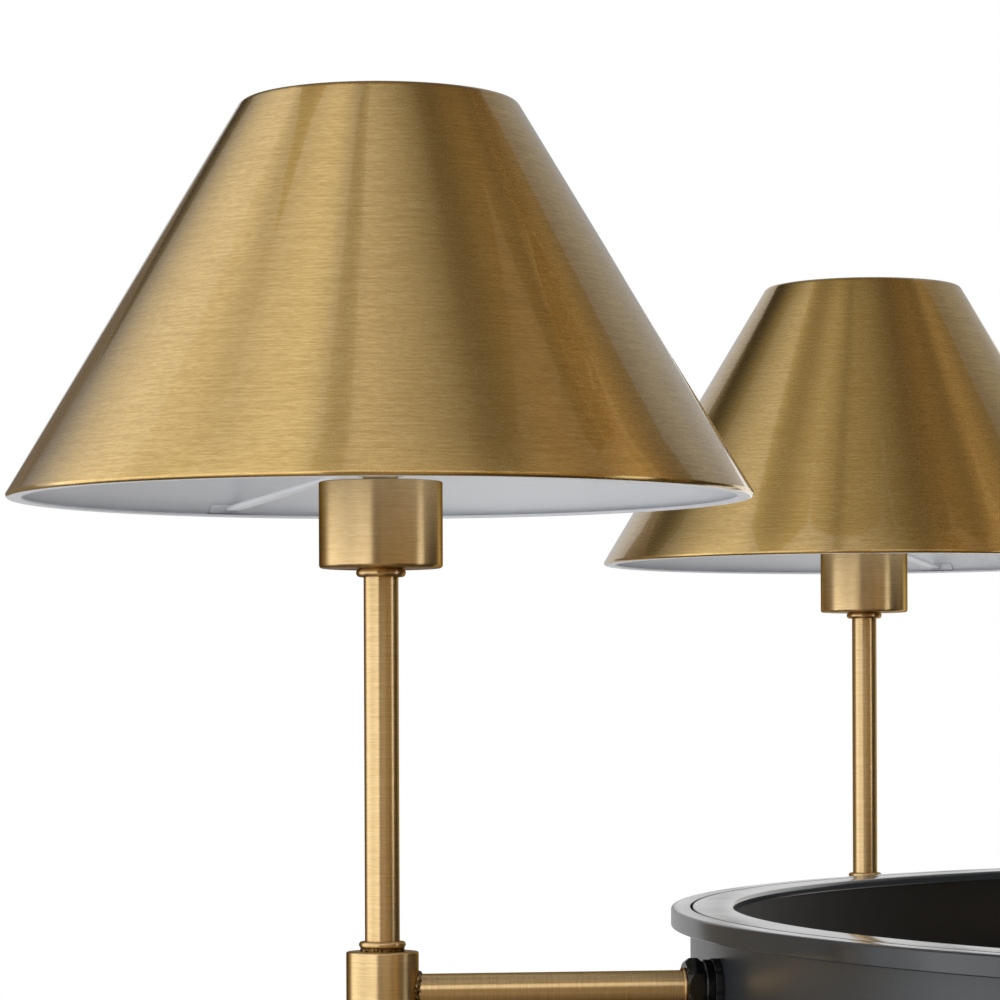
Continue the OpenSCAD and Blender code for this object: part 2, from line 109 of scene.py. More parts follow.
class ShadeSettings(bpy.types.PropertyGroup):
    top_d: length("Top diameter", "Outside diameter of the shade's top", 75.4)
    wall: length("Wall", "Thickness of the spun sheet", 0.7)
    rim_lip: length("Rim lip", "Width of the lip turned in at the rim", 4.4)
    rim_roll: length("Rim roll", "Outer radius of the rolled rim", 0.9)
    top_lip: length("Top lip", "Width of the lip turned in at the top", 4)
    shoulder: length("Shoulder", "Outer radius of the rounded top shoulder", 2.7)
    segments: count("Segments", "Faces round a shade", 192, 24)


class LampSettings(bpy.types.PropertyGroup):
    bore: length("Tube bore", "Bore of the post and arm tubes", 7.2)
    cup_wall: length("Cup wall", "Thickness of the cup", 1.2)
    cup_edge: length("Cup edge", "Outer radius of the cup's lower edge", 0.9)
    knuckle_bevel: length("Knuckle bevel", "Bevel round the knuckle's ends", 0.5)
    knurl_h: length("Knurl height", "Height of the knurled foot under the bead", 1)
    knurl_teeth: count("Knurl teeth", "Teeth round the knurled foot", 40, 8)
    braze: length("Braze", "Thickness of the brazed fillet between arm and knuckle", 1.8)
    bar_w: length("Bar width", "Width of a spider bar", 4)
    bar_t: length("Bar thickness", "Thickness of a spider bar", 1.4)
    foot_w: length("Foot width", "Width of a spider's foot along the shade's wall", 14)
    foot_h: length("Foot height", "Height of a spider's foot", 2.6)
    foot_t: length("Foot thickness", "Thickness of a spider's foot", 0.8)
    bar_count: count("Bars", "Bars of a spider", 3, 2)
    segments: count("Segments", "Faces round a turned piece", 96, 24)


class RingSettings(bpy.types.PropertyGroup):
    flange_t: length("Flange", "Thickness of the ring's flanges", 5.5)
    wall: length("Wall", "Wall of the band", 2)
    edge: length("Edge", "Rounding of the flanges' outer edges", 0.8)
    washer_teeth: count("Washer teeth", "Teeth round a lock washer", 14, 6)
    segments: count("Segments", "Faces round the ring", 360, 24)


class StageSettings(bpy.types.PropertyGroup):
    eye: FloatVectorProperty(name="Eye", description="Place of the camera", size=3, unit="LENGTH",
                             subtype="TRANSLATION", default=(-0.60319, -1.02436, -0.56598))
    heading: FloatProperty(name="Heading", description="Turn of the view to the right of +Y",
                           subtype="ANGLE", default=math.radians(8.651))
    roll: FloatProperty(name="Roll", description="Roll of the camera", subtype="ANGLE",
                        default=math.radians(-0.2226))
    lens: FloatProperty(name="Lens", description="Focal length in millimetres", default=136.19, min=1)
    rise: FloatProperty(name="Rise", description="Lens shift upwards, in frame widths", default=0.2197)
    floor_drop: length("Floor", "Height from the ceiling down to the floor", 2400)
    floor_r: length("Floor radius", "Radius of the floor", 4000)
    card_r: length("Card distance", "Distance of the nearest reflector card", 1250)
    card_gap: length("Card gap", "Step from each reflector card to the next one behind it", 2)
    ambient: FloatProperty(name="Ambient", description="Light from all round on matt surfaces",
                           default=0.66, min=0)
    key: FloatProperty(name="Key", description="Power of the soft key lamp", default=16, min=0, unit="POWER")
    key_d: length("Key diameter", "Diameter of the soft key lamp", 2000)


# Where things are in the frame

def middle(node):
    lo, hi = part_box(node)
    return (lo + hi) / 2


def span(node):
    lo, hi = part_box(node)
    return hi - lo


def points(node):
    return [v.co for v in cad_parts[node].data.vertices]


def radii(node):
    """Least and greatest distance of a node from the chandelier's axis."""
    found = [math.hypot(p.x, p.y) for p in points(node)]
    return min(found), max(found)


def stretches(values, gap=6 * MM):
    """Runs of numbers with no gap between neighbours, as (first, last) pairs."""
    ordered = sorted(values)
    starts = [ordered[0]] + [b for a, b in zip(ordered, ordered[1:]) if b - a > gap]
    ends = [a for a, b in zip(ordered, ordered[1:]) if b - a > gap] + [ordered[-1]]
    return list(zip(starts, ends))


# Height of the arms' axis, outer radii of the arm and post tubes, and radius of a bore that fits the post
AXIS_Z = middle("arm_1").z
ARM_R = span("arm_1").z / 2
POST_R = span("post_1").x / 2
POST_BORE_R = POST_R + CLEARANCE


def heights(node):
    """Lowest and highest point of a node above the arms' axis."""
    lo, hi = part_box(node)
    return lo.z - AXIS_Z, hi.z - AXIS_Z


def on_first_arm(node):
    """Where the pieces of a node lie along the first arm, as distances from the chandelier's axis."""
    beside = 2 * ARM_R
    return stretches([-p.x for p in points(node) if p.x < 0 and abs(p.y) < beside])


def lamp_reach(node):
    """Outer radius of a node's round pieces, from its reach beyond the first lamp's axis."""
    return abs(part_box(node)[0].x - middle("post_1").x)


def lamp_angle(i):
    place = middle(f"post_{i}")
    return math.atan2(place.y, place.x)


def at_lamp(i, turn=0.0):
    """The lamp's own frame: its post is Z, the arms' axis is at zero height and X points outwards."""
    place = middle(f"post_{i}")
    return Matrix.Translation((place.x, place.y, AXIS_Z)) @ Matrix.Rotation(lamp_angle(i) + turn, 4, "Z")


def on_spoke(i):
    """The arm's own frame: Z runs outwards from the chandelier's axis and X points up."""
    out = Vector((math.cos(lamp_angle(i)), math.sin(lamp_angle(i)), 0))
    up = Vector((0, 0, 1))
    return Matrix.Translation((0, 0, AXIS_Z)) @ Matrix((up, out.cross(up), out)).transposed().to_4x4()


def on_axis(z=0.0):
    return Matrix.Translation((0, 0, z))


# Shaping

def rounded(before, corner, after, radius):
    """The arc that rounds a corner of a profile."""
    u, w = (before - corner).normalized(), (after - corner).normalized()
    half = u.angle(w) / 2
    centre = corner + (u + w).normalized() * radius / math.sin(half)
    p, q = corner + u * radius / math.tan(half), corner + w * radius / math.tan(half)
    start, end = (math.atan2(v.y - centre.y, v.x - centre.x) for v in (p, q))
    sweep = (end - start + 3 * math.pi) % (2 * math.pi) - math.pi
    angles = [start + sweep * k / ARC_STEPS for k in range(ARC_STEPS + 1)]
    return [centre + radius * Vector((math.cos(a), math.sin(a))) for a in angles]


def outline(corners, step=None):
    """Points (radius, height, finish) round a profile of corners (radius, height, rounding, finish).

    The finish of a corner holds for its own arc and for the straight run after it."""
    full = [(tuple(c) + (0, 0))[:4] for c in corners]
    flat = [Vector(c[:2]) for c in full]
    made = []
    for k, (_, _, rounding, finish) in enumerate(full):
        arc = rounded(flat[k - 1], flat[k], flat[(k + 1) % len(flat)], rounding) if rounding else [flat[k]]
        made += [(p.x, p.y, finish) for p in arc]
    if not step:
        return made
    split = []
    for (r, z, finish), (r2, z2, _) in zip(made, made[1:] + made[:1]):
        parts = max(1, math.ceil(math.hypot(r2 - r, z2 - z) / step))
        split += [(r + (r2 - r) * k / parts, z + (z2 - z) * k / parts, finish) for k in range(parts)]
    return split


def spin(bm, profile, segments, shape=None):
    """Turns a profile round Z. shape(angle, radius, height) may change the radius."""
    angles = [2 * math.pi * k / segments for k in range(segments)]
    rings = []
    for r, z, _ in profile:
        if r < ON_AXIS:
            rings.append([bm.verts.new((0, 0, z))])
            continue
        reach = [shape(a, r, z) if shape else r for a in angles]
        rings.append([bm.verts.new((d * math.cos(a), d * math.sin(a), z)) for a, d in zip(angles, reach)])
    for ring, after, (_, _, finish) in zip(rings, rings[1:] + rings[:1], profile):
        if len(ring) == len(after) == 1:
            continue
        for k in range(segments):
            n = (k + 1) % segments
            loop = [ring[k % len(ring)], ring[n % len(ring)], after[n % len(after)], after[k % len(after)]]
            face = bm.faces.new(list(dict.fromkeys(loop)))
            face.material_index = finish


def meshed(name, bm, *finishes):
    """A smooth mesh with its hard edges kept, and its materials."""
    bmesh.ops.recalc_face_normals(bm, faces=bm.faces)
    mesh = bpy.data.meshes.new(name)
    bm.to_mesh(mesh)
    bm.free()
    mesh.shade_smooth()
    mesh.set_sharp_from_angle(angle=SHARP)
    for finish in finishes:
        mesh.materials.append(finish)
    return mesh


def turned(name, profiles, segments, *finishes, shape=None, step=None):
    """A mesh of one or more turned profiles on the same axis."""
    bm = bmesh.new()
    for corners in profiles:
        spin(bm, outline(corners, step), segments, shape)
    return meshed(name, bm, *finishes)


def tube(inner_r, outer_r, start, end, edge=0.0):
    return [(inner_r, start), (outer_r, start, edge), (outer_r, end, edge), (inner_r, end)]


def bead(inner_r, outer_r, start, end):
    """A collar with a full round edge."""
    nearly_half = 0.49
    return tube(inner_r, outer_r, start, end, (end - start) * nearly_half)


def hexagon(flats):
    """Limits a turned piece to a hexagon with corners at angle zero and every sixty degrees on."""
    sixth = math.pi / 3
    return lambda a, r, z: min(r, flats / 2 / math.cos(a % sixth - sixth / 2))


def nut_profile(bore_r, flats, start, end):
    """A nut's profile before its flats are cut: bevelled corners and a countersunk bore."""
    corner_r = flats / 2 / math.cos(math.pi / 6)
    steepness, most_of_height = 1.2, 0.3
    bevel = min((corner_r - flats / 2) * steepness, (end - start) * most_of_height)
    sink = bevel / 3
    return [(bore_r, start + sink), (bore_r + sink, start), (flats / 2, start), (corner_r, start + bevel),
            (corner_r, end - bevel), (flats / 2, end), (bore_r + sink, end), (bore_r, end - sink)]


def wave(angle):
    """A smooth wave, 1 at angle zero and 0 half a turn on."""
    return 0.5 + 0.5 * math.cos(angle)


def thread(depth, pitch, threaded=lambda r, z: True):
    """Cuts a helical thread where threaded(radius, height) holds."""
    return lambda a, r, z: r - depth * wave(2 * math.pi * z / pitch - a) if threaded(r, z) else r


def knurl(depth, teeth, knurled, sharpness=1):
    """Cuts teeth round a piece where knurled(radius, height) holds."""
    return lambda a, r, z: r - depth * wave(teeth * a) ** sharpness if knurled(r, z) else r


def swept(bm, path, radius):
    """A round bead along a closed path that keeps across X; radius(k) is its thickness at point k."""
    sides = 12
    turns = [2 * math.pi * s / sides for s in range(sides)]
    rings = []
    for k, p in enumerate(path):
        ahead = (path[(k + 1) % len(path)] - path[k - 1]).normalized()
        side = (Vector((1, 0, 0)) - ahead * ahead.x).normalized()
        over = ahead.cross(side)
        spokes = [side * math.cos(t) + over * math.sin(t) for t in turns]
        rings.append([bm.verts.new(p + radius(k) * spoke) for spoke in spokes])
    skin(bm, rings, True)


def skin(bm, rings, closed):
    """Faces between rings of points, joined end to end when closed and capped when not."""
    for ring, after in zip(rings, rings[1:] + rings[:1] if closed else rings[1:]):
        for s, point in enumerate(ring):
            n = (s + 1) % len(ring)
            bm.faces.new((point, ring[n], after[n], after[s]))
    if not closed:
        bm.faces.new(rings[0])
        bm.faces.new(rings[-1])


def block(bm, matrix, size, edge):
    """A box with rounded edges, its middle at the matrix's origin."""
    made = bmesh.ops.create_cube(bm, size=1, matrix=matrix @ Matrix.Diagonal((*size, 1)))
    edges = list({e for v in made["verts"] for e in v.link_edges})
    bmesh.ops.bevel(bm, geom=edges, offset=edge, segments=3, profile=0.5, affect="EDGES")


def show(mesh, name, matrix, body, slot, *nodes):
    """Puts a piece in place on its body, in the stead of the frame's own nodes."""
    piece = bpy.data.objects.new(name, mesh)
    bpy.context.scene.collection.objects.link(piece)
    piece.matrix_world = matrix
    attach(piece, body)
    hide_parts(*nodes)
    return piece


def finish_node(node, material):
    """Gives a node of the frame its finish."""
    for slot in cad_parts[node].material_slots:
        slot.link = "OBJECT"
        slot.material = material


# Finishes

def add(tree, kind, inputs=None, **settings):
    """Adds a node with its settings, and its inputs by name or place: a value, or an output to link."""
    made = tree.nodes.new(kind)
    for key, value in settings.items():
        setattr(made, key, value)
    for key, value in (inputs or {}).items():
        if isinstance(value, bpy.types.NodeSocket):
            tree.links.new(value, made.inputs[key])
        else:
            made.inputs[key].default_value = value
    return made


def blank(name):
    """A material with an empty tree, or one made before and no tree."""
    known = bpy.data.materials.get(name)
    if known:
        return known, None
    made = bpy.data.materials.new(name)
    made.use_nodes = True
    made.node_tree.nodes.clear()
    return made, made.node_tree


def surface(tree, inputs):
    shader = add(tree, "ShaderNodeBsdfPrincipled", inputs)
    add(tree, "ShaderNodeOutputMaterial", {"Surface": shader.outputs["BSDF"]})


def palette():
    return bpy.context.scene.chandelier_finish


def round_marks(tree, line, run):
    """Marks that a brush leaves round the piece's own Z axis: line across them, run along them.

    A share of the radius is added to the height, so that faces across the axis are marked in rings too."""
    share = 0.7
    place = add(tree, "ShaderNodeTexCoord").outputs["Object"]
    flat = add(tree, "ShaderNodeVectorMath", {0: place, 1: (1, 1, 0)}, operation="MULTIPLY").outputs[0]
    radius = add(tree, "ShaderNodeVectorMath", {0: flat}, operation="LENGTH").outputs["Value"]
    height = add(tree, "ShaderNodeSeparateXYZ", {0: place}).outputs["Z"]
    across = add(tree, "ShaderNodeMath", {0: radius, 1: share, 2: height}, operation="MULTIPLY_ADD")
    fine = add(tree, "ShaderNodeMath", {0: across.outputs[0], 1: 1 / line}, operation="MULTIPLY")
    lift = add(tree, "ShaderNodeCombineXYZ", {"Z": fine.outputs[0]}).outputs["Vector"]
    along = add(tree, "ShaderNodeVectorMath", {0: flat, "Scale": 1 / run}, operation="SCALE").outputs[0]
    where = add(tree, "ShaderNodeVectorMath", {0: along, 1: lift}, operation="ADD").outputs[0]
    return add(tree, "ShaderNodeTexNoise", {"Vector": where, "Scale": 1, "Detail": 2}).outputs["Fac"]


def brushed_brass(name, deep, pale, edge, roughness, anisotropy, contrast, lacquer):
    """Antique brass, turned or spun, brushed round its axis and toned.

    The brushing draws each light out along the axis, so the eye sees soft bands that run up the piece and
    fine lines that run round it. A real line is about a tenth of a millimetre wide, and is drawn coarser to
    show. The toning darkens the piece's sides to edge, and lacquer adds a faint clear gloss."""
    made, tree = blank(name)
    if tree is None:
        return made
    look = palette()
    wider, longer, quarter_turn = 1.3, 5, 0.25
    evenness, gloss_change, scratch = 0.14 / contrast, 0.02, 0.02 * MM
    short = round_marks(tree, look.brush_line, look.brush_run)
    long = round_marks(tree, look.brush_line * wider, look.brush_run * longer)
    lines = add(tree, "ShaderNodeMix", {0: 0.5, 2: short, 3: long}).outputs[0]
    tone = add(tree, "ShaderNodeMapRange", {"Value": lines, "From Min": 0.5 - evenness,
                                            "From Max": 0.5 + evenness}).outputs["Result"]
    brass = add(tree, "ShaderNodeMix", {0: tone, 6: (*deep, 1), 7: (*pale, 1)}, data_type="RGBA").outputs[2]
    rough = add(tree, "ShaderNodeMapRange", {"Value": tone, "To Min": roughness + gloss_change,
                                             "To Max": roughness - gloss_change})
    bump = add(tree, "ShaderNodeBump", {"Strength": 0.2, "Distance": scratch, "Height": lines})
    round_axis = add(tree, "ShaderNodeTangent", direction_type="RADIAL", axis="Z")
    surface(tree, {"Base Color": brass, "Metallic": 1, "Roughness": rough.outputs["Result"],
                   "Normal": bump.outputs["Normal"], "Tangent": round_axis.outputs["Tangent"],
                   "Anisotropic": anisotropy, "Anisotropic Rotation": quarter_turn,
                   "Specular Tint": (*edge, 1), "Coat Weight": lacquer, "Coat Roughness": 0.04})
    return made


def turned_brass():
    """Brass brushed while it turned in a lathe: soft bands that fall off to dark sides."""
    look = palette()
    return brushed_brass("turned_antique_brass", look.turned_deep, look.turned_pale, look.toned_edge,
                         roughness=0.32, anisotropy=0.83, contrast=0.7, lacquer=0)


def spun_brass():
    """Spun brass sheet, brushed and lacquered: clear bands up the cone, with pale sides."""
    look, untoned = palette(), (1, 1, 1)
    return brushed_brass("spun_antique_brass", look.brass_deep, look.brass_pale, untoned,
                         roughness=0.275, anisotropy=0.95, contrast=1, lacquer=1)


def toned_and_shaded_brass():
    """Brass that the brush has not reached: dark toning, which on the knurled foot under each bead is also
    painted shade, with small lumps that fleck the light.
    """
    made, tree = blank("toned_and_shaded_unbrushed_brass")
    if tree is None:
        return made
    look, lump, lump_h = palette(), 0.9 * MM, 0.3 * MM
    place = add(tree, "ShaderNodeTexCoord").outputs["Object"]
    lumps = add(tree, "ShaderNodeTexNoise", {"Vector": place, "Scale": 1 / lump, "Detail": 2}).outputs["Fac"]
    bright = add(tree, "ShaderNodeMapRange", {"Value": lumps, "From Min": 0.4, "From Max": 0.9})
    tone = add(tree, "ShaderNodeMix", {0: bright.outputs["Result"], 6: (*look.toned, 1),
                                       7: (*look.turned_deep, 1)}, data_type="RGBA").outputs[2]
    bump = add(tree, "ShaderNodeBump", {"Strength": 0.8, "Distance": lump_h, "Height": lumps})
    surface(tree, {"Base Color": tone, "Metallic": 1, "Roughness": 0.28, "Normal": bump.outputs["Normal"]})
    return made


def enamel(name, paint, roughness, peel, waviness):
    """Stoved paint: a smooth film whose faint orange peel, of peel across, wavers the reflections."""
    made, tree = blank(name)
    if tree is None:
        return made
    patch, gloss_change, fade, peel_h = 20 * peel, 0.1, 0.94, 0.02 * MM
    place = add(tree, "ShaderNodeTexCoord").outputs["Object"]
    dimples = add(tree, "ShaderNodeTexNoise", {"Vector": place, "Scale": 1 / peel, "Detail": 1}).outputs[0]
    cloud = add(tree, "ShaderNodeTexNoise", {"Vector": place, "Scale": 1 / patch, "Detail": 2}).outputs[0]
    rough = add(tree, "ShaderNodeMapRange", {"Value": cloud, "From Min": 0.3, "From Max": 0.7,
                                             "To Min": roughness * (1 - gloss_change),
                                             "To Max": roughness * (1 + gloss_change)})
    tone = add(tree, "ShaderNodeMix", {0: cloud, 6: (*[c * fade for c in paint], 1), 7: (*paint, 1)},
               data_type="RGBA").outputs[2]
    bump = add(tree, "ShaderNodeBump", {"Strength": waviness, "Distance": peel_h, "Height": dimples})
    surface(tree, {"Base Color": tone, "Roughness": rough.outputs["Result"],
                   "Normal": bump.outputs["Normal"]})
    return made


def white_enamel():
    """Matt white that spreads the light inside the shades."""
    return enamel("stoved_white_enamel", palette().enamel_white, roughness=0.45, peel=1.2 * MM, waviness=0.2)


def black_enamel():
    """Black with a soft gloss that blurs what the band reflects."""
    return enamel("stoved_black_enamel", palette().enamel_black, roughness=0.27, peel=1.6 * MM, waviness=0.03)


def polished_enamel():
    """The same black polished on flanges and plates, where posts and backdrop show as in dark glass."""
    return enamel("polished_black_enamel", palette().enamel_black, roughness=0.16, peel=1.6 * MM,
                  waviness=0.03)


def shaded_enamel():
    """A deeper black that hardly reflects: painted shade inside the ring and on the lock washers."""
    return enamel("shaded_black_enamel", palette().shaded_black, roughness=0.5, peel=1.6 * MM, waviness=0.03)


def dipped_enamel():
    """Thick glossy black on small dipped pieces, with sharp highlights along their edges."""
    return enamel("dipped_black_enamel", palette().nut_black, roughness=0.15, peel=1 * MM, waviness=0.05)


def plated(name, metal, roughness, grain):
    """Plated metal: a thin bright skin whose crystals, of grain across, mottle the gloss."""
    made, tree = blank(name)
    if tree is None:
        return made
    mottle = 0.2
    place = add(tree, "ShaderNodeTexCoord").outputs["Object"]
    flakes = add(tree, "ShaderNodeTexVoronoi", {"Vector": place, "Scale": 1 / grain}).outputs["Color"]
    share = add(tree, "ShaderNodeSeparateXYZ", {0: flakes}).outputs["X"]
    tone = add(tree, "ShaderNodeMix", {0: share, 6: (*[c * (1 - mottle) for c in metal], 1), 7: (*metal, 1)},
               data_type="RGBA").outputs[2]
    rough = add(tree, "ShaderNodeMapRange", {"Value": share, "To Min": roughness * (1 - mottle),
                                             "To Max": roughness * (1 + mottle)})
    surface(tree, {"Base Color": tone, "Metallic": 1, "Roughness": rough.outputs["Result"]})
    return made


def zinc_steel():
    """Zinc on steel: grey and dull, with spangles a few millimetres across."""
    return plated("zinc_plated_steel", palette().zinc, roughness=0.38, grain=2.5 * MM)


def nickel_brass():
    """Nickel on brass: warmer and brighter, with a fine grain."""
    return plated("nickel_plated_brass", palette().nickel, roughness=0.22, grain=0.8 * MM)


def moulded_phenolic():
    """Phenolic, compression moulded: dark and hard, with a dull gloss and a fine grain of filler."""
    made, tree = blank("moulded_phenolic")
    if tree is None:
        return made
    resin, grain, mottle, pit = palette().phenolic, 0.4 * MM, 0.3, 0.05 * MM
    place = add(tree, "ShaderNodeTexCoord").outputs["Object"]
    filler = add(tree, "ShaderNodeTexNoise", {"Vector": place, "Scale": 1 / grain, "Detail": 3}).outputs[0]
    tone = add(tree, "ShaderNodeMix", {0: filler, 6: (*[c * (1 - mottle) for c in resin], 1),
                                       7: (*[c * (1 + mottle) for c in resin], 1)},
               data_type="RGBA").outputs[2]
    bump = add(tree, "ShaderNodeBump", {"Strength": 0.15, "Distance": pit, "Height": filler})
    surface(tree, {"Base Color": tone, "Roughness": 0.42, "Normal": bump.outputs["Normal"]})
    return made


# Pieces

class CHANDELIER_OT_shades(bpy.types.Operator):
    """Spins the cone shades, brass outside and white enamel inside, with both edges turned in"""
    bl_idname = "chandelier.shades"
    bl_label = "Shades"

    def execute(self, context):
        s = context.scene.chandelier_shade
        low, high = heights("shade_1")
        rim_r, top_r = span("shade_1").x / 2, s.top_d / 2
        slope = math.atan((rim_r - top_r) / (high - low))
        corner_r = rim_r + s.rim_roll * (1 / math.tan((math.pi / 2 - slope) / 2) - 1)
        slant = (corner_r - top_r) / (high - low)
        run = s.wall * math.hypot(1, slant)
        brass, white = 0, 1
        mesh = turned("shade", [[
            (rim_r - s.rim_lip, low, BROKEN_EDGE, white), (corner_r, low, s.rim_roll, brass),
            (top_r, high, s.shoulder, brass), (top_r - s.top_lip, high, BROKEN_EDGE, brass),
            (top_r - s.top_lip, high - s.wall, BROKEN_EDGE, white),
            (corner_r - (high - low - s.wall) * slant - run, high - s.wall, s.shoulder - s.wall, white),
            (corner_r - s.wall * slant - run, low + s.wall, 0, white),
            (rim_r - s.rim_lip, low + s.wall, BROKEN_EDGE, white),
        ]], s.segments, spun_brass(), white_enamel(), step=12 * MM)
        for i in LAMPS:
            show(mesh, f"spun_shade_{i}", at_lamp(i), f"shade_{i}", "shade_brass", f"shade_{i}")
        return {"FINISHED"}


class CHANDELIER_OT_spiders(bpy.types.Operator):
    """Bends the white spiders: a bored hub and flat bars that slope down to feet on the shade's wall"""
    bl_idname = "chandelier.spiders"
    bl_label = "Spiders"

    def execute(self, context):
        s = context.scene.chandelier_lamp
        shade = context.scene.chandelier_shade
        lean = (span("shade_1").x - shade.top_d) / 2 / span("shade_1").z
        skim, hub_t, hub_edge, bite, bar_edge = 0.2 * MM, 1.6 * MM, 0.5 * MM, 1.5 * MM, 0.45 * MM
        for i in LAMPS:
            node = f"spider_{i}"
            base = at_lamp(i)
            own = [base.inverted() @ p for p in points(node)]
            low, high = heights(node)
            hub_low = high - hub_t
            hub_r = max(math.hypot(p.x, p.y) for p in own if p.z > high - skim)
            foot_r = max(math.hypot(p.x, p.y) for p in own)
            bm = bmesh.new()
            spin(bm, outline(tube(POST_BORE_R, hub_r, hub_low, high, hub_edge)), s.segments)
            root = Vector((hub_r - bite, 0, (hub_low + high) / 2))
            toe = Vector((foot_r - s.foot_t - lean * s.foot_h / 2, 0, low + s.foot_h / 2))
            fall = math.atan2(root.z - toe.z, toe.x - root.x)
            for k in range(s.bar_count):
                about = Matrix.Rotation(2 * math.pi * k / s.bar_count, 4, "Z")
                lie = about @ Matrix.Translation((root + toe) / 2) @ Matrix.Rotation(fall, 4, "Y")
                block(bm, lie, ((toe - root).length, s.bar_w, s.bar_t), bar_edge)
                self.foot(bm, s, about, foot_r, low, lean)
            mesh = meshed(node, bm, white_enamel())
            turn = self.first_bar(own, foot_r)
            show(mesh, f"bent_spider_{i}", at_lamp(i, turn), f"shade_{i}", "white_enamel", node)
        return {"FINISHED"}

    @staticmethod
    def foot(bm, s, about, reach, low, lean):
        """A thin pad that follows the cone's wall, with its edges eased."""
        ease, steps, back = 0.25 * MM, 16, lean * s.foot_h
        section = outline([(-s.foot_t, 0, ease), (0, 0, ease), (-back, s.foot_h, ease),
                           (-back - s.foot_t, s.foot_h, ease)])
        half = s.foot_w / 2 / reach
        rings = []
        for t in [half * (2 * k / steps - 1) for k in range(steps + 1)]:
            places = [((reach + r) * math.cos(t), (reach + r) * math.sin(t), low + z) for r, z, _ in section]
            rings.append([bm.verts.new(about @ Vector(place)) for place in places])
        skin(bm, rings, False)

    @staticmethod
    def first_bar(own, foot_r):
        """Angle of one bar, from the middle of the points at its foot."""
        skim, foot_length = 1 * MM, 20 * MM
        feet = [p for p in own if math.hypot(p.x, p.y) > foot_r - skim]
        lead = max(feet, key=lambda p: p.x)
        near = [p for p in feet if (p - lead).length < foot_length]
        return math.atan2(sum(p.y for p in near), sum(p.x for p in near))


class CHANDELIER_OT_posts(bpy.types.Operator):
    """Turns the posts with their beads, cups, thin nuts and knuckles"""
    bl_idname = "chandelier.posts"
    bl_label = "Posts and cups"

    def execute(self, context):
        s = context.scene.chandelier_lamp
        brass = turned_brass()
        low, high = heights("post_1")
        post = turned("post", [tube(s.bore / 2, POST_R, low, high, BROKEN_EDGE)], s.segments, brass,
                      step=15 * MM)
        low, high = heights("cup_beads")
        collar = bead(POST_BORE_R, lamp_reach("cup_beads"), low, high)
        cup_bead = turned("cup_bead", [collar], s.segments, brass)
        cup, knuckle = self.cup(s, brass), self.knuckle(s, brass)
        post_bead, post_nut = self.knurled_bead(s, brass), self.thin_nuts(s, brass)
        for i in LAMPS:
            for mesh, name, node in ((post, "turned_post", f"post_{i}"), (cup, "turned_cup", f"cup_{i}"),
                                     (knuckle, "turned_knuckle", f"knuckle_{i}"),
                                     (post_bead, "knurled_bead", "post_beads"),
                                     (cup_bead, "cup_bead", "cup_beads"),
                                     (post_nut, "thin_nuts", "post_nuts")):
                show(mesh, f"{name}_{i}", at_lamp(i), "chandelier", "antique_brass", node)
        return {"FINISHED"}

    @staticmethod
    def cup(s, brass):
        """A thin cup with a rounded lower edge and an eased lip."""
        low, high = heights("cup_1")
        outer_r, floor, lip, corner = span("cup_1").x / 2, low + s.cup_wall, 0.35 * MM, 0.8 * MM
        inner_r = outer_r - s.cup_wall
        return turned("cup", [[
            (POST_BORE_R, low), (outer_r, low, s.cup_edge), (outer_r, high, lip), (inner_r, high, lip),
            (inner_r, floor, corner), (POST_BORE_R, floor),
        ]], s.segments, brass, step=6 * MM)

    @staticmethod
    def knuckle(s, brass):
        """A cylinder with bevelled ends and a shallow seat for the post."""
        low, high = heights("knuckle_1")
        outer_r, bevel, seat_edge = span("knuckle_1").x / 2, s.knuckle_bevel, 0.15 * MM
        return turned("knuckle", [[
            (0, low), (outer_r, low, bevel), (outer_r, high, bevel), (POST_BORE_R, high, seat_edge),
            (POST_BORE_R, high - bevel), (0, high - bevel),
        ]], s.segments, brass, step=6 * MM)

    @staticmethod
    def thin_nuts(s, brass):
        """Two thin nuts on the post; their corners lie along the arm."""
        flats = 2 * lamp_reach("post_nuts") * math.cos(math.pi / 6)
        nuts = [nut_profile(POST_BORE_R, flats, a - AXIS_Z, b - AXIS_Z)
                for a, b in stretches([p.z for p in points("post_nuts")])]
        return turned("post_nut", nuts, s.segments, brass, shape=hexagon(flats), step=0.4 * MM)

    @staticmethod
    def knurled_bead(s, brass):
        """A round collar on a narrower knurled foot, painted dark: toning, and painted shade under the bead.
        """
        low, high = heights("post_beads")
        bead_r, foot_top = lamp_reach("post_beads"), low + s.knurl_h
        # toned is the finish index of the dark toned brass, here also painted shade on the knurled foot
        foot_share, depth, faces_per_tooth, toned = 0.8, 0.25 * MM, 4, 1
        foot_r = POST_R + foot_share * (bead_r - POST_R)
        foot = [(POST_BORE_R, low, 0, toned), (foot_r, low, 0, toned), (foot_r, foot_top, 0, toned)]
        collar = bead(POST_BORE_R, bead_r, foot_top, high)[1:]
        teeth = knurl(depth, s.knurl_teeth, lambda r, z: z < foot_top and r > POST_BORE_R + ON_AXIS)
        return turned("knurled_bead", [foot + collar], faces_per_tooth * s.knurl_teeth, brass, toned_and_shaded_brass(),
                      shape=teeth)


